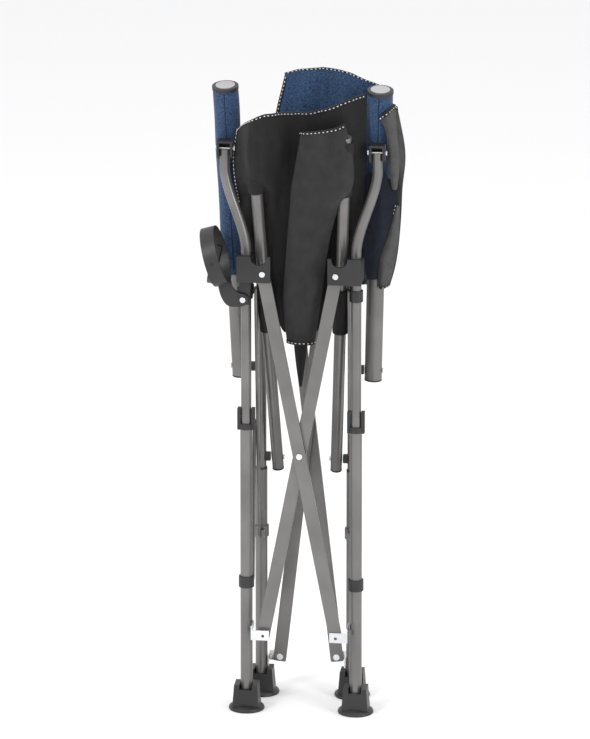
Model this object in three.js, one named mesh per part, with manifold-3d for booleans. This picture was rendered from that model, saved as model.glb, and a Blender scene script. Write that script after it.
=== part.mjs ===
// Folding camp chair, shown folded and standing on its four feet.
// Millimetres, +Z up, -Y is the front; left and right are as seen from the front, left being -X.
// Every piece stands in its folded place; the origin moves to the middle of the footprint at the end.
import * as THREE from 'three';
import { mergeVertices } from 'three/addons/utils/BufferGeometryUtils.js';
import Module from 'manifold-3d';

const wasm = await Module();
wasm.setup();

// ---- driving dimensions ----
const LEG_R = 9.5;              // lower leg tube, 19 mm across
const LEG_BORE = 8.5;           // inside of the lower leg
const POST_R = 8;               // upper tubes that telescope in the legs, 16 mm across
const FRONT_X = 85;             // front legs, each side of the middle
const REAR_X = 71;              // rear legs close up tighter
const REAR_Y = 80;              // rear legs behind the front ones when folded
const FRONT_LEG_TOP = 461;
const REAR_LEG_TOP = 366;
const FRONT_POST_LOW = 226;     // lower end of the front post inside its leg
const REAR_POST_LOW = 140;
const REAR_POST_TOP = 925;
const BEND_START = 746;         // where the front post starts to lean outward
const BEND_END = 850;
const BEND_OUT = 32;            // how far the post's top stands outside its foot
const ARM_PIVOT_Z = 902;        // arm on the front post
const ARM_REAR_Z = 531;         // arm on the back post
const ARM_REAR_X = 103;
const ARM_TOP_X = 119;
const ARM_TOP_Z = 993;
const ARM_OFFSET = 33;          // arm's middle behind the front pivot
const SLEEVE_R = 20;
const SLEEVE_LOW = 690;
const RAIL_R = 9;
const RAIL_PIVOT_X = 46;
const RAIL_PIVOT_Z = 386;
const RAIL_LOW = 368;
const RAIL_TOP = 935;
const SADDLE_X = 62;
const SADDLE_Z = 726;
const SADDLE_HALF = 12.5;
const RAIL_SADDLE_Y = 10;       // the folded rail passes this far behind the front leg's axis
const HUB_PIN_X = 56.5;         // cross bar pivots, each side of the middle
const HUB_PIN_Z = 712.5;
const BRACKET_PIN_Z = 128;
const BAR_HALF = 10;            // cross bar half width
const BAR_T = 6.5;              // cross bar thickness
const BAR_GAP = 0.5;
const BAR_END = 7.5;            // bar past its pivot
const REAR_PIN_X = 44;
const REAR_PIN_Z = 54;
const REAR_HUB_Z = 840;
const SIDE_RING_LOW_Z = 208;    // strut pivot on the front leg
const SIDE_RING_HIGH_Z = 673.5; // long side bar pivot on the front post
const SIDE_BAR_LOW_Z = 265.7;   // long side bar pivot on the rear leg
const SIDE_LUG = 18;            // side pivots stand off the leg axes by this much
const SIDE_SHARE = 0.4587;      // where the strut meets the long side bar, from its lower end
const SIDE_HALF = 5.5;
const SIDE_T = 4.8;
const FOOT_R = 28;
const FOOT_H = 42;
const EAR_H = 27;               // ears of the front bush above the leg's top
const FIT = 0.3;                // clearance between touching pieces
const SEG = 18;                 // facets round a tube

// ---- finishes ----
const paint = (name, color, roughness, metalness) =>
  Object.assign(new THREE.MeshStandardMaterial({ color, roughness, metalness }), { name });
const STEEL = paint('powder_coated_steel', 0x77777a, 0.45, 0.5);
const PLASTIC = paint('black_plastic', 0x17171a, 0.5, 0);
const ZINC = paint('zinc_plate', 0xc9ccd0, 0.3, 0.9);
const BLUE = paint('blue_fabric', 0x23406b, 0.9, 0);
const CHARCOAL = paint('charcoal_fabric', 0x2b2c30, 0.9, 0);
const GREY_CAP = paint('grey_cap', 0x8b8f93, 0.5, 0);

// ---- solids ----
function solid(geometry) {
  const bare = geometry.clone();
  bare.deleteAttribute('normal');
  bare.deleteAttribute('uv');
  const merged = mergeVertices(bare, 1e-4);
  return new wasm.Manifold(new wasm.Mesh({
    numProp: 3,
    vertProperties: new Float32Array(merged.attributes.position.array),
    triVerts: new Uint32Array(merged.index.array),
  }));
}

function shape(body) {
  const mesh = body.getMesh();
  const geometry = new THREE.BufferGeometry();
  geometry.setAttribute('position', new THREE.BufferAttribute(new Float32Array(mesh.vertProperties), 3));
  geometry.setIndex(new THREE.BufferAttribute(new Uint32Array(mesh.triVerts), 1));
  geometry.computeVertexNormals();
  return geometry;
}

const join = (...geometries) =>
  shape(geometries.map(solid).reduce((all, next) => all.add(next)));
const cut = (geometry, ...tools) =>
  shape(tools.map(solid).reduce((left, tool) => left.subtract(tool), solid(geometry)));

function block(x0, x1, y0, y1, z0, z1) {
  const box = new THREE.BoxGeometry(Math.abs(x1 - x0), Math.abs(y1 - y0), Math.abs(z1 - z0));
  return box.translate((x0 + x1) / 2, (y0 + y1) / 2, (z0 + z1) / 2);
}

// A turned piece about a vertical axis at x, y; the profile is [radius, height] pairs.
function turned(x, y, profile, segments = SEG) {
  const lathe = new THREE.LatheGeometry(profile.map(([r, z]) => new THREE.Vector2(r, z)), segments);
  return lathe.rotateX(Math.PI / 2).translate(x, y, 0);
}

const ring = (x, y, inner, outer, z0, z1, segments = SEG) =>
  turned(x, y, [[inner, z0], [outer, z0], [outer, z1], [inner, z1], [inner, z0]], segments);

function pinX(x0, x1, y, z, r, segments = 12) {
  const rod = new THREE.CylinderGeometry(r, r, Math.abs(x1 - x0), segments);
  return rod.rotateZ(Math.PI / 2).translate((x0 + x1) / 2, y, z);
}

function pinY(y0, y1, x, z, r, segments = 12) {
  const rod = new THREE.CylinderGeometry(r, r, Math.abs(y1 - y0), segments);
  return rod.translate(x, (y0 + y1) / 2, z);
}

// A round rod between two points.
function rod(a, b, r, segments = SEG) {
  const from = new THREE.Vector3(...a);
  const to = new THREE.Vector3(...b);
  const along = to.clone().sub(from);
  const geometry = new THREE.CylinderGeometry(r, r, along.length(), segments);
  const up = new THREE.Vector3(0, 1, 0);
  const turn = new THREE.Quaternion().setFromUnitVectors(up, along.clone().normalize());
  const middle = from.add(to).multiplyScalar(0.5);
  return geometry.applyQuaternion(turn).translate(middle.x, middle.y, middle.z);
}

// A flat bar with clipped corners, from one pivot at the origin to the other, in an upright plane.
function strap(length, half, thickness, overhang, clip) {
  const [low, high] = [-overhang, length + overhang];
  const outline = new THREE.Shape([
    [-half + clip, low], [half - clip, low], [half, low + clip], [half, high - clip],
    [half - clip, high], [-half + clip, high], [-half, high - clip], [-half, low + clip],
  ].map(([x, y]) => new THREE.Vector2(x, y)));
  return new THREE.ExtrudeGeometry(outline, { depth: thickness, bevelEnabled: false });
}

// Cross bars stand in an X-Z plane: pivots [x, z] at a and b, front face at y.
function crossBar(a, b, y) {
  const run = new THREE.Vector2(b[0] - a[0], b[1] - a[1]);
  const bar = strap(run.length(), BAR_HALF, BAR_T, BAR_END, 1.2);
  bar.rotateZ(Math.atan2(run.y, run.x) - Math.PI / 2);
  bar.rotateX(Math.PI / 2);
  return bar.translate(a[0], y + BAR_T, a[1]);
}

// Side bars stand in a Y-Z plane: pivots [y, z] at a and b, lower x face at x.
function sideBar(a, b, x) {
  const run = new THREE.Vector2(b[0] - a[0], b[1] - a[1]);
  const bar = strap(run.length(), SIDE_HALF, SIDE_T, SIDE_HALF - 1.5, 2.2);
  bar.rotateZ(Math.atan2(run.y, run.x) - Math.PI / 2);
  bar.applyMatrix4(new THREE.Matrix4().makeBasis(
    new THREE.Vector3(0, 1, 0), new THREE.Vector3(0, 0, 1), new THREE.Vector3(1, 0, 0)));
  return bar.translate(x, a[0], a[1]);
}

// A closed upright slab: outline in [x, z], between y0 and y1.
function slab(points, y0, y1) {
  const outline = new THREE.Shape(points.map(([x, z]) => new THREE.Vector2(x, z)));
  const geometry = new THREE.ExtrudeGeometry(outline, { depth: y1 - y0, bevelEnabled: false });
  return geometry.rotateX(Math.PI / 2).translate(0, y1, 0);
}

const group = new THREE.Group();
function add(name, geometry, material) {
  const mesh = new THREE.Mesh(geometry, material);
  mesh.name = name;
  group.add(mesh);
  return mesh;
}

// ---- layout shared by the two sides ----
const BAR_FRONT_Y = -26.5;                           // front bar's front face
const BAR_BACK_Y = BAR_FRONT_Y + BAR_T + BAR_GAP;    // back bar's front face
const HUB_PLATE_BACK = BAR_FRONT_Y - BAR_GAP;
const HUB_PLATE_FRONT = HUB_PLATE_BACK - 6;
const REAR_BAR_Y = REAR_Y + LEG_R + 5.5;
const COLLAR_R = 12;
const SIDE_BAR_X = 69.6;                             // inner face of the long side bar
const STRUT_X = SIDE_BAR_X + SIDE_T + FIT;           // inner face of the strut
const armXAt = (z) => ARM_REAR_X + (ARM_TOP_X - ARM_REAR_X) * (z - ARM_REAR_Z) / (ARM_TOP_Z - ARM_REAR_Z);
const armYAt = (z) => REAR_Y + (ARM_OFFSET - REAR_Y) * (z - ARM_REAR_Z) / (ARM_PIVOT_Z - ARM_REAR_Z);
const railShare = (z) => (z - RAIL_PIVOT_Z) / (SADDLE_Z - RAIL_PIVOT_Z);
const railXAt = (z) => RAIL_PIVOT_X + (SADDLE_X - RAIL_PIVOT_X) * railShare(z);
const railYAt = (z) => REAR_Y + (RAIL_SADDLE_Y - REAR_Y) * railShare(z);
const ARM_LEAN = Math.atan2(REAR_Y - ARM_OFFSET, ARM_PIVOT_Z - ARM_REAR_Z);
const ARM_OUT = Math.atan2(ARM_TOP_X - ARM_REAR_X, ARM_TOP_Z - ARM_REAR_Z);

// ---- feet and lower legs ----
const BORE_FIT = LEG_R + FIT;
function foot(x, y) {
  const rim = [[0, 0], [FOOT_R - 1, 0], [FOOT_R, 2], [FOOT_R - 1, 5], [21, 8.5], [0, 8.5]];
  const disc = turned(x, y, rim, 26);
  const holder = new THREE.CylinderGeometry(18 * Math.SQRT2, 20.5 * Math.SQRT2, FOOT_H - 7, 4, 1);
  holder.rotateY(Math.PI / 4).rotateX(Math.PI / 2).scale(1, 0.82, 1).translate(x, y, (FOOT_H + 7) / 2);
  const window = block(x - BORE_FIT, x + BORE_FIT, y - 30, y, 34, FOOT_H + 1);
  return cut(join(disc, holder), pinZ(x, y, BORE_FIT, 14, FOOT_H + 10), window);
}

const legTube = (x, y, top) => ring(x, y, LEG_BORE, LEG_R, 14 + FIT, top);

// ---- front posts: straight in the leg, leaning out above the seat hub, upright at the arm ----
const postTopX = FRONT_X + BEND_OUT;
function frontPost(side) {
  const at = (x, z) => new THREE.Vector3(side * x, 0, z);
  const bend = new THREE.CubicBezierCurve3(
    at(FRONT_X, BEND_START), at(FRONT_X + 3, BEND_START + 34),
    at(postTopX - 1, BEND_END - 36), at(postTopX + 1, BEND_END));
  const points = [at(FRONT_X, FRONT_POST_LOW), at(FRONT_X, BEND_START - 2)]
    .concat(bend.getPoints(8)).concat([at(postTopX + 0.5, BEND_END + 25), at(postTopX, ARM_PIVOT_Z)]);
  const smooth = new THREE.CatmullRomCurve3(points, false, 'centripetal');
  const section = new THREE.Shape().absarc(0, 0, POST_R, 0, 2 * Math.PI, false);
  const tube = new THREE.ExtrudeGeometry(section, {
    steps: 24, curveSegments: 8, extrudePath: smooth, bevelEnabled: false });
  const roundEnd = new THREE.SphereGeometry(POST_R, 16, 10).translate(side * postTopX, 0, ARM_PIVOT_Z);
  const hole = pinX(side * (postTopX - 12), side * (postTopX + 12), 0, ARM_PIVOT_Z, 2.6);
  return cut(join(tube, roundEnd), hole);
}

// ---- black bush on the leg's mouth, with two upright ears on the front legs ----
function legCollar(x, y, top, ears) {
  const lip = ring(x, y, POST_R + FIT, LEG_R, top + FIT, top + 3);
  if (!ears) return lip;
  const band = ring(x, y, BORE_FIT, BORE_FIT + 1.6, top - 6, top + 3);
  const cheeks = [-1, 1].map((s) =>
    block(x + s * (POST_R + FIT), x + s * 13.4, y - 6, y + 6, top - 7, top + EAR_H));
  const bore = pinZ(x, y, BORE_FIT, top - 20, top + FIT);
  return cut(join(band, lip, ...cheeks), bore, pinZ(x, y, POST_R + FIT, top - 20, top + 60));
}

// ---- seat hub: collar on the front post, plate in front of the cross bars, open saddle on top ----
function seatHub(side) {
  const x = side * FRONT_X;
  const collar = ring(x, 0, POST_R, COLLAR_R, HUB_PIN_Z - 12, HUB_PIN_Z + 22);
  const web = block(side * 74.5, side * 96, HUB_PLATE_FRONT, -9.2, HUB_PIN_Z - 12, HUB_PIN_Z + 22);
  const plate = block(side * 44, side * 96, HUB_PLATE_FRONT, HUB_PLATE_BACK, HUB_PIN_Z - 14, SADDLE_Z + 14);
  const notch = new THREE.Shape();
  notch.absarc(0, SADDLE_HALF, SADDLE_HALF, Math.PI, 2 * Math.PI, false);
  notch.lineTo(SADDLE_HALF, 60);
  notch.lineTo(-SADDLE_HALF, 60);
  notch.closePath();
  const saddle = new THREE.ExtrudeGeometry(notch, { depth: 60, bevelEnabled: false, curveSegments: 14 });
  saddle.rotateX(Math.PI / 2).translate(side * SADDLE_X, 20, SADDLE_Z);
  const pinHole = pinY(-60, 0, side * HUB_PIN_X, HUB_PIN_Z, 2.6 + FIT);
  const postHole = pinZ(x, 0, POST_R + 0.15, HUB_PIN_Z - 40, HUB_PIN_Z + 60);
  return cut(join(collar, web, plate), saddle, pinHole, postHole);
}

function pinZ(x, y, r, z0, z1, segments = SEG) {
  const rod = new THREE.CylinderGeometry(r, r, z1 - z0, segments);
  return rod.rotateX(Math.PI / 2).translate(x, y, (z0 + z1) / 2);
}

// A ring on a tube with a lug for a side bar; toward is +1 when the lug points to the back.
function sideRing(x, y, bore, z, toward, lugX0, lugX1) {
  const band = ring(x, y, bore + 0.15, bore + 2.6, z - 9, z + 9);
  const reach = y + toward * SIDE_LUG;
  const lug = block(lugX0, lugX1, y + toward * (bore - 1.5), reach + toward * 6, z - 7, z + 7);
  const hole = pinX(Math.min(lugX0, lugX1) - 5, Math.max(lugX0, lugX1) + 5, reach, z, 2.2);
  const tube = pinZ(x, y, bore + 0.15, z - 30, z + 30);
  return cut(join(band, lug), hole, tube);
}

const PLATE_T = 2;               // zinc sheet

// Zinc bracket: flange on the inside of the leg, plate in front of the bar's lower end.
function legBracket(side) {
  const leg = side * (FRONT_X - LEG_R - FIT);
  const front = HUB_PLATE_FRONT + 4;
  const [low, step, high] = [BRACKET_PIN_Z - 7, BRACKET_PIN_Z + 9, BRACKET_PIN_Z + 16];
  const flange = block(leg - side * PLATE_T, leg, front, 4, BRACKET_PIN_Z + 6, high);
  const plate = block(side * 47, leg, front, HUB_PLATE_BACK, low, step);
  const web = block(leg - side * PLATE_T, leg, front, HUB_PLATE_BACK, low, high);
  const hole = pinY(-60, 0, side * HUB_PIN_X, BRACKET_PIN_Z, 2.4);
  return cut(join(flange, plate, web), hole);
}

// ---- rear cross bar holders: a zinc angle behind the lower end, a ring that slides on the post ----
const rearBarFront = (lowSide) => (lowSide < 0 ? REAR_BAR_Y : REAR_BAR_Y + BAR_T + BAR_GAP);
function rearAngle(side) {
  const face = rearBarFront(side) + BAR_T + BAR_GAP;
  const leg = side * (REAR_X - LEG_R - FIT);
  const flange = block(leg - side * 2.4, leg, REAR_Y - 7, face + 2.5, REAR_PIN_Z - 8, REAR_PIN_Z + 8);
  const plate = block(side * (REAR_PIN_X - 8), leg, face, face + 2.5, REAR_PIN_Z - 8, REAR_PIN_Z + 8);
  return cut(join(flange, plate), pinY(REAR_Y, REAR_Y + 60, side * REAR_PIN_X, REAR_PIN_Z, 2.4));
}

function rearSlideHub(side) {
  const x = side * REAR_X;
  const [low, high] = [REAR_HUB_Z - 12, REAR_HUB_Z + 12];
  const band = ring(x, REAR_Y, POST_R + 0.15, POST_R + 3.6, low, high);
  const [front, back] = [REAR_Y + POST_R + 1, REAR_BAR_Y - BAR_GAP];
  const plate = block(side * (REAR_PIN_X - 9), side * (REAR_X + 6), front, back, low, high);
  const hole = pinY(REAR_Y, REAR_Y + 60, side * REAR_PIN_X, REAR_HUB_Z, 2.6 + FIT);
  return cut(join(band, plate), hole, pinZ(x, REAR_Y, POST_R + 0.15, REAR_HUB_Z - 60, REAR_HUB_Z + 60));
}

// ---- back post: runs from inside the rear leg to the top of the back, with bosses for rail and arm ----
function backPost(side) {
  const x = side * REAR_X;
  const tube = pinZ(x, REAR_Y, POST_R, REAR_POST_LOW, REAR_POST_TOP);
  const railBoss = pinX(side * (RAIL_PIVOT_X + RAIL_R + 4 * FIT), x, REAR_Y, RAIL_PIVOT_Z, 8);
  const railPin = pinX(side * (RAIL_PIVOT_X - RAIL_R - 2), x, REAR_Y, RAIL_PIVOT_Z, 2.6);
  const armBoss = pinX(x, side * (ARM_REAR_X - 13.5 - FIT), REAR_Y, ARM_REAR_Z, 8);
  const armPin = pinX(x, side * (ARM_REAR_X + 15), REAR_Y, ARM_REAR_Z, 2.6);
  return join(tube, railBoss, railPin, armBoss, armPin);
}

// ---- seat rail: round tube, hinged low on the back post, its upper end inside the seat's hem ----
function seatRail(side) {
  const at = (z) => [side * railXAt(z), railYAt(z), z];
  const tube = rod(at(RAIL_LOW), at(RAIL_TOP), RAIL_R);
  const [inside, outside] = [side * (RAIL_PIVOT_X - 30), side * (RAIL_PIVOT_X + 30)];
  const hole = pinX(inside, outside, REAR_Y, RAIL_PIVOT_Z, 2.6 + FIT);
  return cut(tube, hole);
}

// ---- arm: a wide tube hinged on the back post, with a padded sleeve and a flat end cap ----
function armTube(side) {
  const low = ARM_REAR_Z - 16;
  const high = SLEEVE_LOW - FIT;
  const section = new THREE.Shape().absellipse(0, 0, 13.5, 10, 0, 2 * Math.PI, false);
  const at = (z) => new THREE.Vector3(side * armXAt(z), armYAt(z), z);
  const depth = at(low).distanceTo(at(high));
  const bar = new THREE.ExtrudeGeometry(section, { depth, bevelEnabled: false, curveSegments: 9 });
  bar.rotateX(ARM_LEAN).rotateY(side * ARM_OUT);
  bar.translate(side * armXAt(low), armYAt(low), low);
  const [inside, outside] = [side * (ARM_REAR_X - 30), side * (ARM_REAR_X + 30)];
  const hole = pinX(inside, outside, REAR_Y, ARM_REAR_Z, 2.6 + FIT);
  return cut(bar, hole);
}

function armSleeve(side) {
  const at = (z) => [side * armXAt(z), armYAt(z), z];
  return rod(at(SLEEVE_LOW), at(ARM_TOP_Z), SLEEVE_R, 24);
}

function armCap(side) {
  const at = (z) => [side * armXAt(z), armYAt(z), z];
  return rod(at(ARM_TOP_Z + FIT), at(ARM_TOP_Z + 6), SLEEVE_R + 0.8, 24);
}

// ---- clevis between the front post's top and the arm ----
function armClevis(side) {
  const inner = POST_R + FIT;
  const x = side * postTopX;
  const wall = 3.6;
  const outer = inner + wall;
  const top = ARM_PIVOT_Z + 13;
  const back = block(x - outer, x + outer, inner, inner + 2, ARM_PIVOT_Z - 20, top);
  const ears = [-1, 1].map((s) =>
    block(x + s * inner, x + s * outer, -9, inner + 2, ARM_PIVOT_Z - 12, top));
  const roof = block(x - outer, x + outer, -9, inner + 2, ARM_PIVOT_Z + 9 + 2 * FIT, top);
  const holes = pinX(x - 30, x + 30, 0, ARM_PIVOT_Z, 2.6 + FIT);
  return cut(join(back, roof, ...ears), holes);
}

const armPin = (side) => {
  const x = side * postTopX;
  return join(
    pinX(x - 14, x + 14, 0, ARM_PIVOT_Z, 2.3),
    pinX(x - 15.2, x - 13, 0, ARM_PIVOT_Z, 4.2),
    pinX(x + 13, x + 15.2, 0, ARM_PIVOT_Z, 4.2));
};

function hubPin(side) {
  const x = side * HUB_PIN_X;
  const barBack = side < 0 ? BAR_FRONT_Y + BAR_T : BAR_BACK_Y + BAR_T;
  return join(
    pinY(HUB_PLATE_FRONT - 1.2, barBack + 0.8, x, HUB_PIN_Z, 2.5),
    pinY(HUB_PLATE_FRONT - 2.4, HUB_PLATE_FRONT - FIT, x, HUB_PIN_Z, 4.6));
}

// ---- front cross bars hang from the hubs; their eyes are bored for the hub pins ----
function frontBar(topSide) {
  const y = topSide < 0 ? BAR_FRONT_Y : BAR_BACK_Y;
  const bar = crossBar([-topSide * HUB_PIN_X, BRACKET_PIN_Z], [topSide * HUB_PIN_X, HUB_PIN_Z], y);
  return cut(bar, pinY(y - 5, y + 15, topSide * HUB_PIN_X, HUB_PIN_Z, 2.5 + FIT));
}

function rearBar(lowSide) {
  const y = rearBarFront(lowSide);
  const bar = crossBar([lowSide * REAR_PIN_X, REAR_PIN_Z], [-lowSide * REAR_PIN_X, REAR_HUB_Z], y);
  return cut(bar, pinY(y - 5, y + 15, lowSide * REAR_PIN_X, REAR_PIN_Z, 2.5 + FIT));
}

// ---- side linkage ----
const LONG_LOW = [REAR_Y - SIDE_LUG, SIDE_BAR_LOW_Z];
const LONG_HIGH = [SIDE_LUG, SIDE_RING_HIGH_Z];
const strutTop = LONG_LOW.map((low, i) => low + (LONG_HIGH[i] - low) * SIDE_SHARE);
const mirrored = (side, x, thickness) => (side > 0 ? x : -x - thickness);
const STRUT_LUG_X = [80.4, 85];                      // inner and outer faces of the three lugs
const BAR_LUG_X = [75.2, 80];
const REAR_LUG_X = [64, 69.1];

for (const [side, name] of [[-1, 'left'], [1, 'right']]) {
  const frontX = side * FRONT_X;
  const rearX = side * REAR_X;
  add(`front_foot_${name}`, foot(frontX, 0), PLASTIC);
  add(`rear_foot_${name}`, foot(rearX, REAR_Y), PLASTIC);
  add(`front_leg_${name}`, legTube(frontX, 0, FRONT_LEG_TOP), STEEL);
  add(`rear_leg_${name}`, legTube(rearX, REAR_Y, REAR_LEG_TOP), STEEL);
  add(`front_post_${name}`, frontPost(side), STEEL);
  add(`back_post_${name}`, backPost(side), STEEL);
  add(`front_leg_collar_${name}`, legCollar(frontX, 0, FRONT_LEG_TOP, true), PLASTIC);
  add(`rear_leg_collar_${name}`, legCollar(rearX, REAR_Y, REAR_LEG_TOP, false), PLASTIC);
  add(`seat_hub_${name}`, seatHub(side), PLASTIC);
  add(`seat_hub_pin_${name}`, hubPin(side), ZINC);
  const [strutLug, barLug, rearLug] = [STRUT_LUG_X, BAR_LUG_X, REAR_LUG_X]
    .map((faces) => faces.map((face) => side * face));
  add(`strut_ring_${name}`, sideRing(frontX, 0, LEG_R, SIDE_RING_LOW_Z, 1, ...strutLug), PLASTIC);
  add(`side_bar_ring_${name}`, sideRing(frontX, 0, POST_R, SIDE_RING_HIGH_Z, 1, ...barLug), PLASTIC);
  add(`rear_leg_lug_${name}`, sideRing(rearX, REAR_Y, LEG_R, SIDE_BAR_LOW_Z, -1, ...rearLug), STEEL);
  add(`leg_bracket_${name}`, legBracket(side), ZINC);
  add(`rear_leg_angle_${name}`, rearAngle(side), ZINC);
  add(`rear_slide_hub_${name}`, rearSlideHub(side), PLASTIC);
  add(`front_cross_bar_${name}`, frontBar(side), STEEL);
  add(`rear_cross_bar_${name}`, rearBar(side), STEEL);
  add(`side_long_bar_${name}`, sideBar(LONG_LOW, LONG_HIGH, mirrored(side, SIDE_BAR_X, SIDE_T)), STEEL);
  const strutFoot = [SIDE_LUG, SIDE_RING_LOW_Z];
  add(`side_strut_${name}`, sideBar(strutFoot, strutTop, mirrored(side, STRUT_X, SIDE_T)), STEEL);
  add(`seat_rail_${name}`, seatRail(side), STEEL);
  add(`arm_tube_${name}`, armTube(side), STEEL);
  add(`arm_sleeve_${name}`, armSleeve(side), BLUE);
  add(`arm_cap_${name}`, armCap(side), GREY_CAP);
  add(`arm_clevis_${name}`, armClevis(side), PLASTIC);
  add(`arm_pin_${name}`, armPin(side), ZINC);
}

// ---- fold-up cup holder on the left front post: clamp, riveted ring arm and swinging bottom loop ----
const CUP_PIN = [-88, 667];        // rivet, x and z
const CUP_CENTRE = [-130, -18, 735];
const CUP_LEAN = THREE.MathUtils.degToRad(16);
const CUP_LOOP_OUT = THREE.MathUtils.degToRad(27);
const CUP_BORE = 43.6;             // half the width of the drink that fits
const CUP_ARM_Y = [-20, -15.8];

function cupClamp() {
  const band = ring(-FRONT_X, 0, POST_R + 0.15, POST_R + 3.4, SIDE_RING_HIGH_Z + 9.5, HUB_PIN_Z - 14.6);
  const neck = block(-FRONT_X - 9, -FRONT_X + 9, -15.4, -6, SIDE_RING_HIGH_Z + 9.5, HUB_PIN_Z - 14.6);
  const plate = block(-FRONT_X - 12, -FRONT_X + 8, -15.4, -11, CUP_PIN[1] - 9, SIDE_RING_HIGH_Z + 12);
  const bore = pinZ(-FRONT_X, 0, POST_R + 0.15, CUP_PIN[1] - 40, CUP_PIN[1] + 60);
  return cut(join(band, neck, plate), bore, pinY(-40, 0, CUP_PIN[0], CUP_PIN[1], 2.6 + FIT));
}

// Points fixed to the cup ring are turned from a level ring into the folded one.
const cupTurn = (geometry, extra = 0) =>
  geometry.rotateY(Math.PI / 2 - CUP_LEAN + extra).translate(...CUP_CENTRE);

function cupRing() {
  const band = cupTurn(ring(0, 0, CUP_BORE, CUP_BORE + 2.4, -11, 11, 28));
  const hook = new THREE.Shape();
  hook.moveTo(-80, 664);
  hook.splineThru([[-86, 657.5], [-98, 655.5], [-111, 657], [-120, 668], [-125, 684], [-127, 697]]
    .map(([x, z]) => new THREE.Vector2(x, z)));
  hook.lineTo(-106, 697);
  hook.splineThru([[-103, 686], [-95, 678], [-86, 676], [-79, 671]]
    .map(([x, z]) => new THREE.Vector2(x, z)));
  hook.closePath();
  const depth = CUP_ARM_Y[1] - CUP_ARM_Y[0];
  const arm = new THREE.ExtrudeGeometry(hook, { depth, bevelEnabled: false, curveSegments: 4 });
  arm.rotateX(Math.PI / 2).translate(0, CUP_ARM_Y[1], 0);
  const drink = cupTurn(pinZ(0, 0, CUP_BORE, -40, 40, 28));
  const eyes = cupTurn(pinY(-60, 60, 0, 0, 2 + FIT));
  return cut(join(band, arm), drink, eyes, pinY(-40, 0, CUP_PIN[0], CUP_PIN[1], 2.6 + FIT));
}

function cupLoop() {
  const hoop = ring(0, 0, CUP_BORE - 3, CUP_BORE - 1, -4, 4, 28);
  const half = cut(hoop, block(-60, -4, -60, 60, -10, 10));
  const studs = [-1, 1].map((s) => pinY(s * (CUP_BORE - 2), s * (CUP_BORE + 2), 0, 0, 2));
  return cupTurn(join(half, ...studs), CUP_LOOP_OUT);
}

add('cup_clamp', cupClamp(), PLASTIC);
add('cup_ring', cupRing(), PLASTIC);
add('cup_loop', cupLoop(), PLASTIC);
add('cup_rivet', join(
  pinY(-21.6, -11.6, CUP_PIN[0], CUP_PIN[1], 2.5),
  pinY(-22.4, -20.3, CUP_PIN[0], CUP_PIN[1], 4.6)), ZINC);

// ---- rivet head where the front cross bars pass each other ----
const crossingZ = (HUB_PIN_Z + BRACKET_PIN_Z) / 2;
add('crossing_rivet', pinY(BAR_FRONT_Y - 2.2, BAR_FRONT_Y - FIT, 0, crossingZ, 5), ZINC);

// ---- fabrics, folded ----
add('seat_fabric', slab([
  [-34, 470], [-14, 380], [10, 392], [30, 470], [40, 690], [40, 912], [-40, 912], [-40, 690],
], -9, 34), CHARCOAL);
add('back_fabric', slab([
  [-44, 622], [44, 622], [58, 700], [58, 1000], [-44, 1000], [-58, 980], [-58, 700],
], 46, 88), BLUE);
add('back_wing', slab([
  [86, 706], [104, 700], [128, 800], [148, 880], [146, 960], [120, 985], [90, 975],
], 90, 106), CHARCOAL);

// The origin is the middle of the footprint box, on the ground.
const bounds = new THREE.Box3().setFromObject(group);
group.position.set(-(bounds.min.x + bounds.max.x) / 2, -(bounds.min.y + bounds.max.y) / 2, -bounds.min.z);
group.updateMatrixWorld(true);

export default group;
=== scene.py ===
# Folding camp chair, closed up and standing on its feet: powder-coated steel tube, black moulded
# fittings, navy padded arms, and the seat and back cloth bundled between the tubes.
import math

import bmesh
import bpy
from mathutils import Matrix, Vector, noise


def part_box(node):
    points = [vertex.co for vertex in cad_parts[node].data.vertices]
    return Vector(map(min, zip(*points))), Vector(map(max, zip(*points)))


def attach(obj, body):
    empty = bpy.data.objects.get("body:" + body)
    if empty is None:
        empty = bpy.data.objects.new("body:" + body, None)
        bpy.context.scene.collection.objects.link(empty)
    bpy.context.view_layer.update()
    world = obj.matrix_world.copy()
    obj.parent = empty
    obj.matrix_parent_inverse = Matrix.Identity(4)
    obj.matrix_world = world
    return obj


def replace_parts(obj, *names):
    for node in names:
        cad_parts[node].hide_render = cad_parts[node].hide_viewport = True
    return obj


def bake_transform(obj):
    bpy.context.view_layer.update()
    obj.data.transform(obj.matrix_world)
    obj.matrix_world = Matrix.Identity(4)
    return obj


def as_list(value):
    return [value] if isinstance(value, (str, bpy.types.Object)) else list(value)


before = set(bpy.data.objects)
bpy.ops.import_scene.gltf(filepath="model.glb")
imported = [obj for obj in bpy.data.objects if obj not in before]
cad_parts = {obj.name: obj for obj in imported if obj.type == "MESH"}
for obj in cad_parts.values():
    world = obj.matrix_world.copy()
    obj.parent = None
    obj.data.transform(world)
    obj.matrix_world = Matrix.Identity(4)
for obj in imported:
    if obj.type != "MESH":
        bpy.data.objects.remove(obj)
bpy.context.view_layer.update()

# ---- place, camera and studio ----
# Places are given in millimetres from the ground point midway between the two front legs.
MM = 0.001
middle = (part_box("front_leg_left")[0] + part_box("front_leg_right")[1]) / 2


def at(x, y, z):
    return Vector((middle.x + x * MM, middle.y + y * MM, z * MM))


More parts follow.
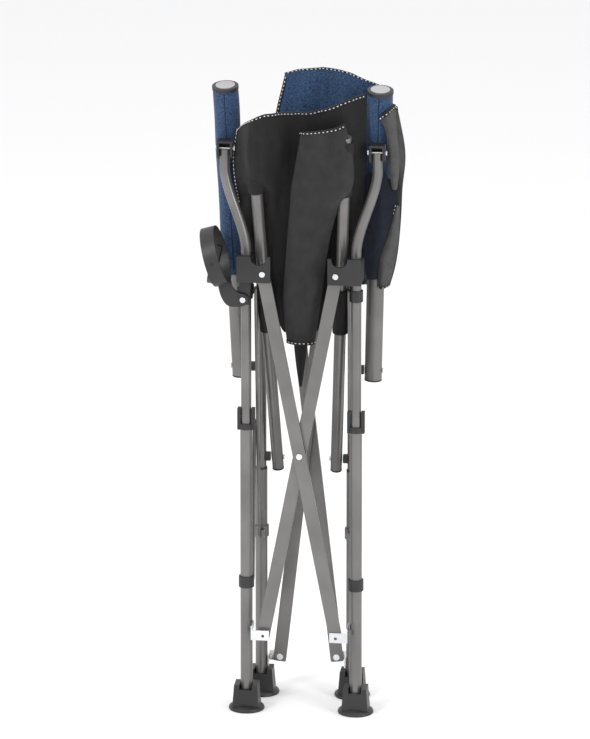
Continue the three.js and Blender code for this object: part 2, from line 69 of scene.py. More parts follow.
VIEW_TURN, VIEW_RISE = math.radians(6.5), math.radians(17)
VIEW_DISTANCE = 16.0
VIEW_HEIGHT = 1.1353               # metres of the upright plane that the frame takes in
aim = at(-9.5, 0, 552.1)
back = Vector((math.sin(VIEW_TURN) * math.cos(VIEW_RISE),
               -math.cos(VIEW_TURN) * math.cos(VIEW_RISE), math.sin(VIEW_RISE)))
camera = bpy.data.objects.new("camera", bpy.data.cameras.new("camera"))
camera.data.sensor_width = 36
camera.data.lens = 36 * VIEW_DISTANCE / VIEW_HEIGHT
camera.location = aim + back * VIEW_DISTANCE
camera.rotation_mode = "QUATERNION"
camera.rotation_quaternion = (-back).to_track_quat("-Z", "Y")
bpy.context.scene.collection.objects.link(camera)
bpy.context.scene.camera = camera


def start_material(name):
    made = bpy.data.materials.new(name)
    made.use_nodes = True
    nodes = made.node_tree.nodes
    return made, nodes, made.node_tree.links.new, nodes["Principled BSDF"]


FLOOR_HALF = 30                    # metres
floor_white, _, _, floor_shader = start_material("floor_white")
floor_shader.inputs["Base Color"].default_value = (0.86, 0.86, 0.87, 1)
floor_shader.inputs["Roughness"].default_value = 0.9
floor_mesh = bpy.data.meshes.new("floor")
shape = bmesh.new()
bmesh.ops.create_grid(shape, x_segments=1, y_segments=1, size=FLOOR_HALF)
shape.to_mesh(floor_mesh)
shape.free()
floor = bpy.data.objects.new("floor", floor_mesh)
floor.data.materials.append(floor_white)
bpy.context.scene.collection.objects.link(floor)

world = bpy.data.worlds.new("studio")
bpy.context.scene.world = world
bpy.context.scene.view_settings.view_transform = "Standard"
world.use_nodes = True
backdrop = world.node_tree.nodes["Background"]
backdrop.inputs["Color"].default_value = (1, 1, 1, 1)
backdrop.inputs["Strength"].default_value = 1.0


LIT_SPOT = Vector((0, 0, 0.5))     # every softbox faces the middle of the chair


def softbox(name, place, width, height, watts):
    light = bpy.data.lights.new(name, "AREA")
    light.shape, light.size, light.size_y, light.energy = "RECTANGLE", width, height, watts
    lamp = bpy.data.objects.new(name, light)
    lamp.location = place
    lamp.rotation_mode = "QUATERNION"
    lamp.rotation_quaternion = (LIT_SPOT - Vector(place)).to_track_quat("-Z", "Y")
    bpy.context.scene.collection.objects.link(lamp)


softbox("key", (-1.8, -2.6, 2.6), 1.0, 1.6, 55)
softbox("fill", (2.4, -1.8, 1.4), 0.8, 2.0, 30)
softbox("top", (0, 0.4, 3.2), 2.4, 2.4, 25)

# ---- powder-coated steel tube ----
# Welded steel tube, 19 mm in the lower legs and 16 mm in the posts, with a satin grey coat that has a
# fine orange-peel skin. Every coated, moulded and plated piece takes the same kind of skin.
def new_group(name, inputs, outputs):
    group = bpy.data.node_groups.new(name, "ShaderNodeTree")
    for label, kind, value in inputs:
        group.interface.new_socket(label, in_out="INPUT", socket_type=kind).default_value = value
    for label, kind in outputs:
        group.interface.new_socket(label, in_out="OUTPUT", socket_type=kind)
    return group, group.nodes.new("NodeGroupInput"), group.nodes.new("NodeGroupOutput")


def skin_group():
    group, given, result = new_group(
        "moulded_skin",
        [("Scale", "NodeSocketFloat", 900), ("Low", "NodeSocketFloat", 0.4),
         ("High", "NodeSocketFloat", 0.5), ("Depth", "NodeSocketFloat", 0.1)],
        [("Shade", "NodeSocketFloat"), ("Roughness", "NodeSocketFloat"), ("Normal", "NodeSocketVector")])
    link, place = group.links.new, group.nodes.new("ShaderNodeTexCoord")
    fine, broad = (group.nodes.new("ShaderNodeTexNoise") for _ in range(2))
    for noise_node in (fine, broad):
        link(place.outputs["Object"], noise_node.inputs["Vector"])
    link(given.outputs["Scale"], fine.inputs["Scale"])
    fine.inputs["Detail"].default_value = 3
    broad.inputs["Scale"].default_value = 14
    spread = group.nodes.new("ShaderNodeMapRange")
    link(fine.outputs["Fac"], spread.inputs["Value"])
    link(given.outputs["Low"], spread.inputs["To Min"])
    link(given.outputs["High"], spread.inputs["To Max"])
    bump = group.nodes.new("ShaderNodeBump")
    bump.inputs["Distance"].default_value = 0.0004
    link(given.outputs["Depth"], bump.inputs["Strength"])
    link(fine.outputs["Fac"], bump.inputs["Height"])
    link(broad.outputs["Fac"], result.inputs["Shade"])
    link(spread.outputs["Result"], result.inputs["Roughness"])
    link(bump.outputs["Normal"], result.inputs["Normal"])
    return group


skin = skin_group()


def tone_between(nodes, dark, light, low, high):
    """A colour ramp from dark to light, where its factor goes from low to high."""
    tone = nodes.new("ShaderNodeValToRGB")
    first, last = tone.color_ramp.elements
    first.position, last.position = low, high
    first.color, last.color = (*dark, 1), (*light, 1)
    return tone


def hard_finish(name, dark, light, metallic, scale, low, high, depth):
    """A coated, moulded or plated skin; low and high are its roughness limits."""
    made, nodes, link, shader = start_material(name)
    shader.inputs["Metallic"].default_value = metallic
    skin_node = nodes.new("ShaderNodeGroup")
    skin_node.node_tree = skin
    for label, value in (("Scale", scale), ("Low", low), ("High", high), ("Depth", depth)):
        skin_node.inputs[label].default_value = value
    tone = tone_between(nodes, dark, light, 0.35, 0.65)
    link(skin_node.outputs["Shade"], tone.inputs["Fac"])
    link(tone.outputs["Color"], shader.inputs["Base Color"])
    link(skin_node.outputs["Roughness"], shader.inputs["Roughness"])
    link(skin_node.outputs["Normal"], shader.inputs["Normal"])
    return made


coat = hard_finish(
    "grey_powder_coat", (0.150, 0.146, 0.142), (0.185, 0.180, 0.175), 0.6, 700, 0.26, 0.36, 0.12)


def piece(name, shape, material, slot):
    bmesh.ops.recalc_face_normals(shape, faces=shape.faces)
    for face in shape.faces:
        face.smooth = True
    mesh = bpy.data.meshes.new(name)
    shape.to_mesh(mesh)
    shape.free()
    made = bpy.data.objects.new(name, mesh)
    made.data.materials.append(material)
    bpy.context.scene.collection.objects.link(made)
    return made


def soften(made, width):
    bevel = made.modifiers.new("soft_edges", "BEVEL")
    bevel.width, bevel.segments, bevel.limit_method = width, 2, "ANGLE"
    bevel.angle_limit = math.radians(35)
    normals = made.modifiers.new("even_shading", "WEIGHTED_NORMAL")
    normals.keep_sharp = True
    return made


def sweep(name, centres, radius, material, slot, segments=32, flat=1.0):
    """A round tube along the centres, closed at both ends; flat squeezes it front to back."""
    shape = bmesh.new()
    steps = [(b - a).normalized() for a, b in zip(centres, centres[1:])]
    aims = [steps[0]] + [(a + b).normalized() for a, b in zip(steps, steps[1:])] + [steps[-1]]
    ring = bmesh.ops.create_circle(shape, cap_ends=True, segments=segments, radius=radius)["verts"]
    turn = Vector((0, 0, 1)).rotation_difference(aims[0]).to_matrix().to_4x4()
    bmesh.ops.scale(shape, vec=(1, flat, 1), verts=ring)
    bmesh.ops.transform(shape, matrix=Matrix.Translation(centres[0]) @ turn, verts=ring)
    edges = list(shape.edges)
    for i in range(1, len(centres)):
        grown = bmesh.ops.extrude_edge_only(shape, edges=edges)["geom"]
        ring = [g for g in grown if isinstance(g, bmesh.types.BMVert)]
        held = set(ring)
        edges = [g for g in grown if isinstance(g, bmesh.types.BMEdge) and held.issuperset(g.verts)]
        turn = aims[i - 1].rotation_difference(aims[i]).to_matrix().to_4x4()
        move = Matrix.Translation(centres[i]) @ turn @ Matrix.Translation(-centres[i - 1])
        bmesh.ops.transform(shape, matrix=move, verts=ring)
    bmesh.ops.edgeloop_fill(shape, edges=edges)
    return soften(piece(name, shape, material, slot), 0.6 * MM)


def leaning_axis(node, radius, x_up, y_up):
    """The two ends of a leaning round piece's axis, from its box and the way it leans as it rises."""
    low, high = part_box(node)
    span, lean = high - low, Vector((x_up, y_up, 1))
    run = span.copy()
    for _ in range(8):
        way = run.normalized()
        run = Vector([span[i] - 2 * radius * math.sqrt(1 - way[i] ** 2) for i in range(3)])
    half = Vector([run[i] * lean[i] / 2 for i in range(3)])
    return (low + high) / 2 - half, (low + high) / 2 + half


LEG_R = 9.5 * MM
SIDES = (("left", -1), ("right", 1))
for side, k in SIDES:
    for leg in (f"front_leg_{side}", f"rear_leg_{side}"):
        low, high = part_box(leg)
        mid = (low + high) / 2
        tube = sweep(f"{leg}_tube", [Vector((mid.x, mid.y, low.z)), Vector((mid.x, mid.y, high.z))],
                     LEG_R, coat, "tube")
        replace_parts(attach(tube, leg), leg)

# ---- front posts ----
# 16 mm tube that slides in the front leg; above the seat hub it leans outward in one long bend and
# comes upright again under the arm's clevis.
POST_R = 8 * MM
POST_STRAIGHT, POST_LEANING_END, POST_TOP = 746, 868, 902
BENDS, BEND_SOFTNESS = 14, 0.6
TOP_SETBACK = 0.6 * MM             # the upright end stands in from the bend's outermost line
for side, k in SIDES:
    low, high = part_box(f"front_post_{side}")
    inner, outer = (low.x, high.x) if k > 0 else (high.x, low.x)
    start_x, end_x = inner + k * POST_R, outer - k * POST_R
    spine = [Vector((start_x, middle.y, low.z)), Vector((start_x, middle.y, POST_STRAIGHT * MM))]
    for i in range(1, BENDS + 1):
        share = i / BENDS
        ease = share ** 2 * (3 - 2 * share) * BEND_SOFTNESS + share * (1 - BEND_SOFTNESS)
        height = POST_STRAIGHT + (POST_LEANING_END - POST_STRAIGHT) * share
        spine.append(Vector((start_x + (end_x - start_x) * ease, middle.y, height * MM)))
    spine.append(Vector((end_x - k * TOP_SETBACK, middle.y, POST_TOP * MM)))
    tube = sweep(f"front_post_{side}_tube", spine, POST_R, coat, "tube")
    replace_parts(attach(tube, f"front_post_{side}"), f"front_post_{side}")

# ---- moulded fittings, plates and bars kept from the frame ----
# Glass-filled nylon hubs, bushes, rings and feet with a faint grain; zinc-plated angles and rivets;
# coated flat bars with edges rounded by the press.
nylon = hard_finish("black_nylon", (0.010, 0.010, 0.011), (0.017, 0.017, 0.018), 0, 1600, 0.36, 0.55, 0.25)
zinc = hard_finish("zinc_plating", (0.62, 0.63, 0.65), (0.80, 0.81, 0.83), 0.95, 500, 0.2, 0.34, 0.06)


WELD_GAP = 0.02 * MM


def dress(node, material, edge):
    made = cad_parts[node]
    for holder in made.material_slots:
        holder.link = "OBJECT"
        holder.material = material
    for face in made.data.polygons:
        face.use_smooth = True
    weld = made.modifiers.new("weld", "WELD")
    weld.merge_threshold = WELD_GAP
    soften(made, edge)


for side, k in SIDES:
    for fitting in ("front_foot", "rear_foot", "front_leg_collar", "rear_leg_collar", "seat_hub",
                    "strut_ring", "side_bar_ring", "rear_slide_hub", "arm_clevis"):
        dress(f"{fitting}_{side}", nylon, 0.7 * MM)
    for plate in ("leg_bracket", "rear_leg_angle", "seat_hub_pin", "arm_pin"):
        dress(f"{plate}_{side}", zinc, 0.3 * MM)
    for bar in ("front_cross_bar", "rear_cross_bar", "side_long_bar", "side_strut", "rear_leg_lug"):
        dress(f"{bar}_{side}", coat, 0.8 * MM)
for fitting in ("cup_clamp", "cup_ring", "cup_loop"):
    dress(fitting, nylon, 0.6 * MM)
dress("cup_rivet", zinc, 0.5 * MM)
dress("crossing_rivet", zinc, 0.5 * MM)

# ---- back posts ----
# 16 mm tube from inside the rear leg to the top of the back; a black spacer and a plated rivet sit on
# its inside for the seat rail and on its outside for the arm. The rear bars' screws are added here.
def short_rod(name, start, end, radius, material, slot, body):
    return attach(sweep(name, [start, end], radius, material, slot, segments=24), body)


RAIL_HINGE, ARM_HINGE = 386, 531       # heights of the two hinges on the back post
REAR_X, REAR_Y = 71, 80
SPACER_R, RIVET_R, SCREW_R = 7.5 * MM, 4.2 * MM, 5.2 * MM
SCREW_X, SCREW_Z = 44, 54
SCREW_HEAD, SCREW_GAP = 1.8 * MM, 0.1 * MM
HINGE_PIECES = (                       # name, height, inner and outer end, radius, finish, slot
    ("rail_spacer", RAIL_HINGE, 56.4, 64, SPACER_R, nylon, "fitting"),
    ("rail_rivet", RAIL_HINGE, 34.6, 36.6, RIVET_R, zinc, "zinc"),
    ("arm_spacer", ARM_HINGE, 78, 88.6, SPACER_R, nylon, "fitting"),
    ("arm_rivet", ARM_HINGE, 117, 118.8, RIVET_R, zinc, "zinc"),
)
for side, k in SIDES:
    body = f"back_post_{side}"
    low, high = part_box(body)
    ends = [at(k * REAR_X, REAR_Y, z / MM) for z in (low.z, high.z)]
    tube = sweep(f"{body}_tube", ends, POST_R, coat, "tube")
    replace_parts(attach(tube, body), body)
    for name, height, inner, outer, radius, material, slot in HINGE_PIECES:
        start, end = at(k * inner, REAR_Y, height), at(k * outer, REAR_Y, height)
        short_rod(f"{name}_{side}", start, end, radius, material, slot, body)
    bar_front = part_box(f"rear_cross_bar_{side}")[0].y
    screw = at(k * SCREW_X, 0, SCREW_Z)
    start = Vector((screw.x, bar_front - SCREW_HEAD, screw.z))
    end = Vector((screw.x, bar_front - SCREW_GAP, screw.z))
    short_rod(f"rear_bar_screw_{side}", start, end, SCREW_R, zinc, "zinc", f"rear_bar_{side}")

# ---- seat rails ----
# 18 mm tube that runs in the side hem of the seat, hinged low on the back post, with a black plug in
# its open lower end.
RAIL_R, RAIL_PLUG_R = 9 * MM, 9.2 * MM
for side, k in SIDES:
    body = f"seat_rail_{side}"
    foot, head = leaning_axis(body, RAIL_R, k, -1)
    tube = sweep(f"{body}_tube", [foot, head], RAIL_R, coat, "tube")
    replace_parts(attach(tube, body), body)
    along = (head - foot).normalized()
    start, end = foot - along * 2.4 * MM, foot - along * 0.1 * MM
    short_rod(f"rail_plug_{side}", start, end, RAIL_PLUG_R, nylon, "fitting", body)

# ---- arms ----
# A wide flattened tube hinged on the back post and bare below its padded sleeve, with a black plug
# in its open lower end.
SLEEVE_R = 20 * MM                     # the padded sleeve's solid in the frame
ARM_FOOT_R = 13.5 * MM
ARM_FLAT, ARM_PLUG_FLAT = 0.76, 0.77
TILTED_END = 3 * MM                    # the tube's slanted end reaches this far below its axis
for side, k in SIDES:
    body = f"arm_{side}"
    sleeve_foot, sleeve_head = leaning_axis(f"arm_sleeve_{side}", SLEEVE_R, k, -1)
    along = (sleeve_head - sleeve_foot).normalized()
    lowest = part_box(f"arm_tube_{side}")[0].z
    foot = sleeve_foot - along * ((sleeve_foot.z - lowest - TILTED_END) / along.z)
    spine = [foot, sleeve_foot - along * 0.3 * MM]
    tube = sweep(f"{body}_tube", spine, ARM_FOOT_R, coat, "tube", flat=ARM_FLAT)
    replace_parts(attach(tube, body), f"arm_tube_{side}")
    spine = [foot - along * 2.2 * MM, foot - along * 0.1 * MM]
    plug = sweep(f"arm_plug_{side}", spine, ARM_FOOT_R + 0.3 * MM, nylon, "fitting", flat=ARM_PLUG_FLAT)
    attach(plug, body)

# ---- cloth kinds ----
# Navy melange polyester for the arms and the back, black coated polyester for the seat, and black
# binding tape with a running white stitch on every hem.
def weave_group():
    group, given, result = new_group(
        "woven_cloth", [("Threads", "NodeSocketFloat", 900), ("Melange", "NodeSocketFloat", 160)],
        [("Weave", "NodeSocketFloat"), ("Fleck", "NodeSocketFloat"), ("Normal", "NodeSocketVector")])
    link, place = group.links.new, group.nodes.new("ShaderNodeTexCoord")
    waves = []
    for direction in ("X", "Z"):
        wave = group.nodes.new("ShaderNodeTexWave")
        wave.bands_direction = direction
        wave.inputs["Distortion"].default_value = 1.5
        link(place.outputs["Object"], wave.inputs["Vector"])
        link(given.outputs["Threads"], wave.inputs["Scale"])
        waves.append(wave)
    over = group.nodes.new("ShaderNodeMath")
    over.operation = "MULTIPLY"
    for i in range(2):
        link(waves[i].outputs["Fac"], over.inputs[i])
    fleck = group.nodes.new("ShaderNodeTexNoise")
    fleck.inputs["Detail"].default_value = 4
    link(place.outputs["Object"], fleck.inputs["Vector"])
    link(given.outputs["Melange"], fleck.inputs["Scale"])
    bump = group.nodes.new("ShaderNodeBump")
    bump.inputs["Strength"].default_value = 0.5
    bump.inputs["Distance"].default_value = 0.0006
    link(over.outputs["Value"], bump.inputs["Height"])
    link(over.outputs["Value"], result.inputs["Weave"])
    link(fleck.outputs["Fac"], result.inputs["Fleck"])
    link(bump.outputs["Normal"], result.inputs["Normal"])
    return group


weave = weave_group()


def cloth(name, dark, light, threads, melange, roughness, sheen):
    """Woven cloth; threads and melange are the scales of the weave and of its flecks."""
    made, nodes, link, shader = start_material(name)
    shader.inputs["Roughness"].default_value = roughness
    shader.inputs["Sheen Weight"].default_value = sheen
    shader.inputs["Specular IOR Level"].default_value = 0.25
    woven = nodes.new("ShaderNodeGroup")
    woven.node_tree = weave
    woven.inputs["Threads"].default_value = threads
    woven.inputs["Melange"].default_value = melange
    tone = tone_between(nodes, dark, light, 0.32, 0.68)
    shade = nodes.new("ShaderNodeMix")
    shade.data_type, shade.blend_type = "RGBA", "MULTIPLY"
    shade.inputs["Factor"].default_value = 0.45
    link(woven.outputs["Fleck"], tone.inputs["Fac"])
    link(tone.outputs["Color"], shade.inputs["A"])
    link(woven.outputs["Weave"], shade.inputs["B"])
    link(shade.outputs["Result"], shader.inputs["Base Color"])
    link(woven.outputs["Normal"], shader.inputs["Normal"])
    return made


navy = cloth("navy_melange", (0.012, 0.032, 0.085), (0.06, 0.13, 0.27), 330, 420, 0.9, 0.15)
navy_lining = cloth("navy_lining", (0.004, 0.007, 0.016), (0.008, 0.012, 0.026), 500, 120, 0.85, 0.1)
black_cloth = cloth("black_coated_cloth", (0.007, 0.007, 0.0075), (0.012, 0.012, 0.013), 700, 60, 0.62, 0.05)
charcoal = cloth("charcoal_cloth", (0.018, 0.018, 0.019), (0.03, 0.03, 0.031), 700, 60, 0.6, 0.08)
grey_back = cloth("grey_coated_cloth", (0.07, 0.07, 0.071), (0.10, 0.10, 0.101), 600, 80, 0.65, 0.05)
tape = cloth("black_binding", (0.008, 0.008, 0.009), (0.02, 0.02, 0.021), 1300, 900, 0.85, 0.1)
thread = hard_finish("white_thread", (0.42, 0.42, 0.42), (0.62, 0.62, 0.61), 0, 900, 0.6, 0.8, 0.1)


def curve_through(values, share):
    """A smooth curve through evenly spaced values; share runs from 0 to 1."""
    last = len(values) - 1
    spot = min(max(share, 0), 1) * last
    i = min(int(spot), last - 1)
    t = spot - i
    p0, p1, p2, p3 = values[max(i - 1, 0)], values[i], values[i + 1], values[min(i + 2, last)]
    return 0.5 * ((2 * p1) + (p2 - p0) * t + (2 * p0 - 5 * p1 + 4 * p2 - p3) * t * t
                  + (3 * p1 - p0 - 3 * p2 + p3) * t ** 3)


def surface(net, ripple=0.0, seed=0):
    """net holds lines of (x, y, z) from the top edge to the bottom one, listed from left to right."""
    lines = [[Vector(p) for p in line] for line in net]

    def place(u, v):
        spot = curve_through([curve_through(line, v) for line in lines], u)
        sway = noise.noise(Vector((spot.x * 0.05, seed, spot.z * 0.011)))
        fine = noise.noise(Vector((spot.x * 0.11, seed + 7, spot.z * 0.03)))
        spot.y += ripple * (sway + 0.35 * fine)
        return at(spot.x, spot.y, spot.z)
    return place


def outward(place, u, v):
    """Which way the cloth's face looks at (u, v), kept a little inside its edges."""
    near = 0.005
    u, v = (min(max(share, 2 * near), 1 - 2 * near) for share in (u, v))
    across = place(u + near, v) - place(u - near, v)
    return across.cross(place(u, v - near) - place(u, v + near)).normalized()


CLOTH_T = 0.9 * MM


def cloth_piece(name, place, columns, rows, material, slot):
    shape = bmesh.new()
    bmesh.ops.create_grid(shape, x_segments=columns, y_segments=rows, size=0.5)
    for vert in shape.verts:
        vert.co = place(vert.co.x + 0.5, 0.5 - vert.co.y)
    made = piece(name, shape, material, slot)
    shell = made.modifiers.new("cloth_thickness", "SOLIDIFY")
    shell.thickness, shell.offset = CLOTH_T, 0
    return made


def fix_shape(made):
    """Turns the piece's modifiers into mesh."""
    bpy.context.view_layer.objects.active = made
    for modifier in list(made.modifiers):
        with bpy.context.temp_override(object=made, active_object=made, selected_objects=[made]):
            bpy.ops.object.modifier_apply(modifier=modifier.name)


BINDING_T, BINDING_EDGE = 3.0 * MM, 0.9 * MM
STITCH_STEP, STITCH_R, STITCH_OUT = 6.2 * MM, 0.9 * MM, 1.7 * MM
STITCH_LINE = 0.6                      # across the binding, from the cloth's edge
STITCH_SHAPE = (2.0, 1, 0.6)           # long, and pressed into the tape
WALK = 720                             # steps along a hem when its stitches are spaced


def stitch_places(place, along, width):
    """Where each stitch of a hem sits, the way it runs and the way its cloth faces."""
    def spot_at(share):
        return place(*along(min(max(share, 0), 1), width * STITCH_LINE))

    found, walked, last = [], 0.0, None
    for i in range(WALK + 1):
        share = i / WALK
        spot = spot_at(share)
        if last is not None:
            walked += (spot - last).length
        if last is None or walked > STITCH_STEP:
            way = (spot_at(share + 0.004) - spot_at(share - 0.004)).normalized()
            found.append((spot, way, outward(place, *along(share, width * STITCH_LINE))))
            walked = 0.0
        last = spot
    return found


def hem(name, place, along, width=8.0):
    """Binding over an edge, and its stitches; along(t, w) gives (u, v), w being mm inside the edge."""
    shape = bmesh.new()
    bmesh.ops.create_grid(shape, x_segments=60, y_segments=3, size=0.5)
    for vert in shape.verts:
        vert.co = place(*along(vert.co.x + 0.5, (vert.co.y + 0.5) * width))
    band = piece(name, shape, tape, "black_webbing")
    shell = band.modifiers.new("binding_thickness", "SOLIDIFY")
    shell.thickness, shell.offset = BINDING_T, 0
    rounded = band.modifiers.new("round_edges", "BEVEL")
    rounded.width, rounded.segments = BINDING_EDGE, 2
    shape = bmesh.new()
    for spot, way, facing in stitch_places(place, along, width):
        turn = Matrix((way, facing.cross(way).normalized(), facing)).transposed().to_4x4()
        for face_side in (1, -1):
            ball = bmesh.ops.create_uvsphere(shape, u_segments=6, v_segments=4, radius=STITCH_R)["verts"]
            bmesh.ops.scale(shape, vec=STITCH_SHAPE, verts=ball)
            move = Matrix.Translation(spot + facing * (face_side * STITCH_OUT))
            bmesh.ops.transform(shape, matrix=move @ turn, verts=ball)
    return band, piece(f"{name}_stitches", shape, thread, "white_thread")


# ---- seat ----
# Black coated polyester, folded between the two seat rails: one broad sheet with a curved hem runs over
# the top of the left rail and behind the right one, one fold bulges forward in the middle, and a short
# tail of it ends in a point below.
SEAT_NET = [
    [(-98, 2, 930), (-104, 4, 886), (-102, 8, 845), (-98, 16, 810), (-86, 26, 740), (-72, 36, 680)],
    [(-88, -20, 945), (-91, -18, 900), (-88, -10, 855), (-84, 8, 822), (-76, 22, 738), (-62, 36, 645)],
    [(-74, -46, 960), (-76, -42, 905), (-73, -30, 860), (-70, 2, 828), (-62, 22, 735), (-52, 38, 625)],
    [(-54, -48, 970), (-55, -42, 908), (-54, -28, 862), (-53, 0, 826), (-47, 20, 730), (-38, 38, 612)],
    [(-34, -34, 970), (-36, -22, 905), (-36, -8, 850), (-36, 4, 810), (-32, 18, 710), (-28, 36, 600)],
    [(-8, -12, 966), (-10, 2, 905), (-10, 8, 850), (-10, 14, 810), (-9, 24, 700), (-6, 34, 600)],
    [(20, -14, 969), (18, -4, 905), (17, 4, 850), (16, 12, 810), (14, 24, 700), (14, 34, 600)],
    [(48, -18, 978), (48, -10, 905), (46, -2, 850), (45, 8, 820), (40, 22, 730), (32, 38, 615)],
    [(76, -14, 990), (80, -8, 910), (79, 0, 860), (76, 8, 820), (68, 22, 740), (56, 36, 640)],
    [(97, 2, 994), (100, 6, 910), (98, 10, 860), (94, 14, 815), (84, 26, 750), (70, 36, 680)],
]
FOLD_NET = [
    [(4, -34, 941), (-5, -28, 890), (-13, -18, 845), (-16, -10, 812), (-21, -4, 757), (-28, 6, 664),
     (-23, 12, 591)],
    [(12, -46, 944), (7, -42, 890), (0, -34, 843), (-4, -26, 810), (-11, -16, 757), (-19, -6, 664),
     (-15, 4, 591)],
    [(34, -50, 948), (32, -46, 890), (26, -38, 842), (18, -32, 808), (9, -20, 757), (0, -7, 664),
     (-2, 1, 591)],
    [(58, -50, 953), (64, -46, 890), (60, -38, 842), (46, -24, 812), (32, -16, 757), (20, -5, 664),
     (11, 4, 591)],
    [(72, -40, 958), (84, -34, 890), (80, -26, 850), (60, -12, 818), (43, -2, 757), (30, 6, 664),
     (19, 12, 591)],
]
TAIL_NET = [
    [(-14, 14, 610), (-12, 15, 580), (-9, 17, 550), (-5, 20, 520)],
    [(-3, 6, 610), (-3, 9, 580), (-3, 13, 550), (-3, 19, 519)],
    [(9, 14, 610), (7, 15, 580), (3, 17, 550), (-1, 20, 520)],
]
seat_place = surface(SEAT_NET, ripple=5.0, seed=3)
fold_place = surface(FOLD_NET, ripple=2.5, seed=11)
tail_place = surface(TAIL_NET, ripple=1.0, seed=17)
seat = cloth_piece("seat_cloth", seat_place, 96, 90, black_cloth, "charcoal_cloth")
fold = cloth_piece("seat_middle_fold", fold_place, 60, 90, charcoal, "charcoal_cloth")
tail = cloth_piece("seat_tail", tail_place, 20, 24, black_cloth, "charcoal_cloth")


def top_edge(length):
    return lambda t, w: (t, w / length)


def bottom_edge(length):
    return lambda t, w: (t, 1 - w / length)


def left_edge(width, low=0.0, high=1.0):
    return lambda t, w: (w / width, low + (high - low) * t)


seat_trim = [*hem("seat_top_hem", seat_place, top_edge(350)),
             *hem("seat_left_hem", seat_place, left_edge(290, 0.0, 0.6)),
             *hem("fold_top_hem", fold_place, top_edge(370)),
             *hem("fold_low_hem", fold_place, bottom_edge(370))]
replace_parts(seat, "seat_fabric")
for made in (seat, fold, tail, *seat_trim):
    fix_shape(made)
    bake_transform(made)
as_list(seat_trim[:4])
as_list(seat_trim[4:])

# ---- sleeves of the seat on its rails ----
# The seat's side hems are sewn into sleeves that run on the rails; bare rail shows between the upper
# and the lower sleeve.
WRINKLE, LOOSENESS = 1.3 * MM, 0.4 * MM
for side, k in SIDES:
    foot, head = leaning_axis(f"seat_rail_{side}", RAIL_R, k, -1)

    def on_rail(height):
        share = (height * MM - foot.z) / (head.z - foot.z)
        return foot + (head - foot) * share

    for part, low, high, radius in (("upper", 838, 926, 12.4), ("lower", 604, 678, 11.6)):
        spine = [on_rail(low + (high - low) * i / 14) for i in range(15)]
        sleeve = sweep(f"rail_{part}_sleeve_{side}", spine, radius * MM, black_cloth, "charcoal_cloth",
                       segments=40)
        for vert in sleeve.data.vertices:
            x, y, z = vert.co
            wrinkle = noise.noise(Vector((x * 60, y * 60, z * 26)) + Vector((k, 0, 0)))
            away = vert.co - on_rail(z / MM)
            away.z = 0
            vert.co += away.normalized() * (wrinkle * WRINKLE + LOOSENESS)
        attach(sleeve, f"seat_rail_{side}")

# ---- back ----
# Navy melange sheet hung between the two back posts; it stands up behind the seat with its bound top
# hem, and the rest of it drops behind.
BACK_NET = [
    [(-31, 60, 1009), (-36, 60, 985), (-46, 56, 940), (-48, 54, 880), (-46, 54, 800), (-42, 56, 700)],
    [(2, 50, 1018), (0, 50, 985), (-8, 48, 940), (-10, 48, 880), (-10, 48, 800), (-8, 50, 700)],
    [(40, 58, 1018), (38, 60, 985), (34, 58, 940), (30, 56, 880), (28, 54, 800), (24, 54, 700)],
    [(78, 50, 1010), (76, 50, 980), (70, 50, 940), (62, 50, 880), (56, 50, 800), (50, 52, 700)],
    [(116, 58, 992), (112, 58, 970), (100, 58, 930), (88, 58, 880), (80, 58, 800), (72, 60, 700)],
]
back_place = surface(BACK_NET, ripple=5.0, seed=29)
back_sheet = cloth_piece("back_cloth", back_place, 90, 90, navy, "blue_cloth")
back_trim = [*hem("back_top_hem", back_place, top_edge(315)),
             *hem("back_left_hem", back_place, left_edge(150, 0.1, 0.5))]
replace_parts(back_sheet, "back_fabric")
for made in (back_sheet, *back_trim):
    fix_shape(made)
    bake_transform(made)

# ---- wing of the back ----
# The side of the back sheet, grey coated outside and navy inside, with bound and stitched edges. One
# part hangs behind the right arm from the back post; the navy lining and two grey flaps lie in front
# of the arm and move with it.
WING_NET = [
    [(76, 90, 915), (76, 90, 860), (76, 90, 800), (76, 90, 740), (76, 90, 690), (76, 90, 664)],
    [(112, 60, 955), (108, 66, 880), (106, 78, 810), (104, 88, 740), (104, 92, 690), (108, 94, 664)],
    [(124, 72, 965), (118, 80, 880), (116, 90, 810), (116, 98, 740), (116, 100, 690), (116, 100, 660)],
    [(138, 84, 952), (150, 92, 880), (146, 96, 820), (143, 98, 760), (136, 100, 700), (127, 100, 664)],
]
LINING_NET = [
    [(92, 14, 862), (92, 20, 800), (93, 28, 740), (98, 36, 690)],
    [(116, 8, 866), (116, 14, 800), (112, 24, 740), (108, 34, 690)],
    [(142, 22, 852), (147, 24, 805), (130, 30, 745), (114, 38, 690)],
]
UPPER_FLAP_NET = [
    [(121, 4, 958), (131, 5, 925), (133, 9, 880), (138, 15, 842)],
    [(131, 1, 967), (138, 2, 925), (141, 5, 884), (142, 13, 840)],
    [(141, 22, 974), (145, 20, 925), (149, 18, 884), (145, 22, 840)],
]
LOWER_FLAP_NET = [
    [(144, 22, 812), (130, 28, 768), (115, 34, 724), (113, 41, 677)],
    [(146, 17, 812), (138, 20, 765), (126, 24, 722), (121, 34, 676)],
    [(149, 24, 812), (147, 32, 765), (141, 38, 722), (131, 46, 678)],
]
wing_place = surface(WING_NET, ripple=6.0, seed=41)
lining_place = surface(LINING_NET, ripple=3.0, seed=47)
wing = cloth_piece("back_wing_cloth", wing_place, 48, 90, grey_back, "charcoal_cloth")
lining = cloth_piece("back_wing_lining", lining_place, 40, 60, navy_lining, "blue_cloth")
upper_place = surface(UPPER_FLAP_NET, ripple=1.5, seed=53)
lower_place = surface(LOWER_FLAP_NET, ripple=1.5, seed=59)
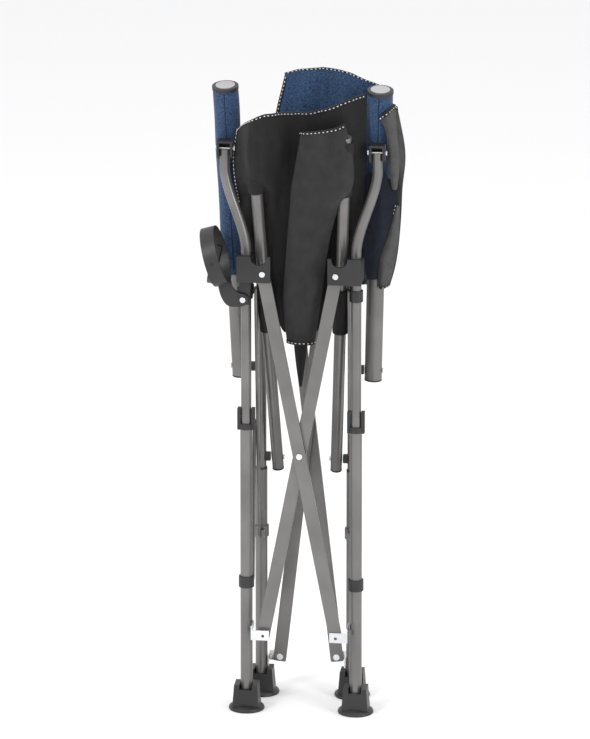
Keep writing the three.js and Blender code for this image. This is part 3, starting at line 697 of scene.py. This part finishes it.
upper_flap = cloth_piece("wing_upper_flap", upper_place, 30, 50, grey_back, "charcoal_cloth")
lower_flap = cloth_piece("wing_lower_flap", lower_place, 30, 50, grey_back, "charcoal_cloth")
wing_trim = [*hem("wing_top_hem", wing_place, top_edge(290)),
             *hem("wing_low_hem", wing_place, bottom_edge(290))]
upper_trim = [*hem("wing_upper_flap_hem", upper_place, top_edge(130))]
lower_trim = [*hem("wing_lower_flap_hem", lower_place, left_edge(30, 0.0, 0.72), width=6.0),
              *hem("wing_lower_flap_end", lower_place, bottom_edge(140), width=6.0)]
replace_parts(wing, "back_wing")
for made in (wing, *wing_trim):
    fix_shape(made)
    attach(made, "back_post_right")
for made in (lining, upper_flap, lower_flap, *upper_trim, *lower_trim):
    fix_shape(made)
    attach(made, "arm_right")

# ---- arm sleeves and end caps ----
# Foam pad in a navy melange sleeve closed by one seam along the front, a black moulded collar on its
# upper end and a light grey disc pressed into it.
cap_grey = hard_finish(
    "grey_cap_moulding", (0.30, 0.30, 0.31), (0.36, 0.36, 0.37), 0.1, 1200, 0.4, 0.5, 0.15)
PAD_R, SEAM_R, SEAM_OUT, COLLAR_R, DISC_R = 19.6 * MM, 0.9 * MM, 19.4 * MM, 20.4 * MM, 15 * MM
SLEEVE_STEPS = 40
SLACK, PUCKER = 1.1, 0.7               # millimetres
for side, k in SIDES:
    body = f"arm_{side}"
    foot, head = leaning_axis(f"arm_sleeve_{side}", SLEEVE_R, k, -1)
    along = (head - foot).normalized()
    spine = [foot + (head - foot) * (i / SLEEVE_STEPS) for i in range(SLEEVE_STEPS + 1)]
    sleeve = sweep(f"{body}_sleeve", spine, PAD_R, navy, "blue_cloth", segments=48)
    for vert in sleeve.data.vertices:
        x, y, z = vert.co
        share = (z - foot.z) / (head.z - foot.z)
        away = vert.co - (foot + (head - foot) * share)
        if away.length > 5 * MM:
            slack = noise.noise(Vector((x * 30, y * 30, z * 12)) + Vector((0, k * 3, 0)))
            pucker = PUCKER * math.exp(-min(share, 1 - share) * 60)
            vert.co += away.normalized() * (slack * SLACK - pucker) * MM
    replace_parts(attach(sleeve, body), f"arm_sleeve_{side}")
    front = Vector((0, -1, 0)) * SEAM_OUT
    seam_line = [spot + front for spot in spine[1:-1]]
    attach(sweep(f"{body}_seam", seam_line, SEAM_R, tape, "black_webbing", segments=10), body)
    ends = [head - along * 3.2 * MM, head + along * 3.0 * MM]
    rim = sweep(f"{body}_collar", ends, COLLAR_R, nylon, "fitting", segments=48)
    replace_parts(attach(rim, body), f"arm_cap_{side}")
    ends = [head + along * 2.2 * MM, head + along * 4.4 * MM]
    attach(sweep(f"{body}_disc", ends, DISC_R, cap_grey, "arm_cap", segments=48), body)
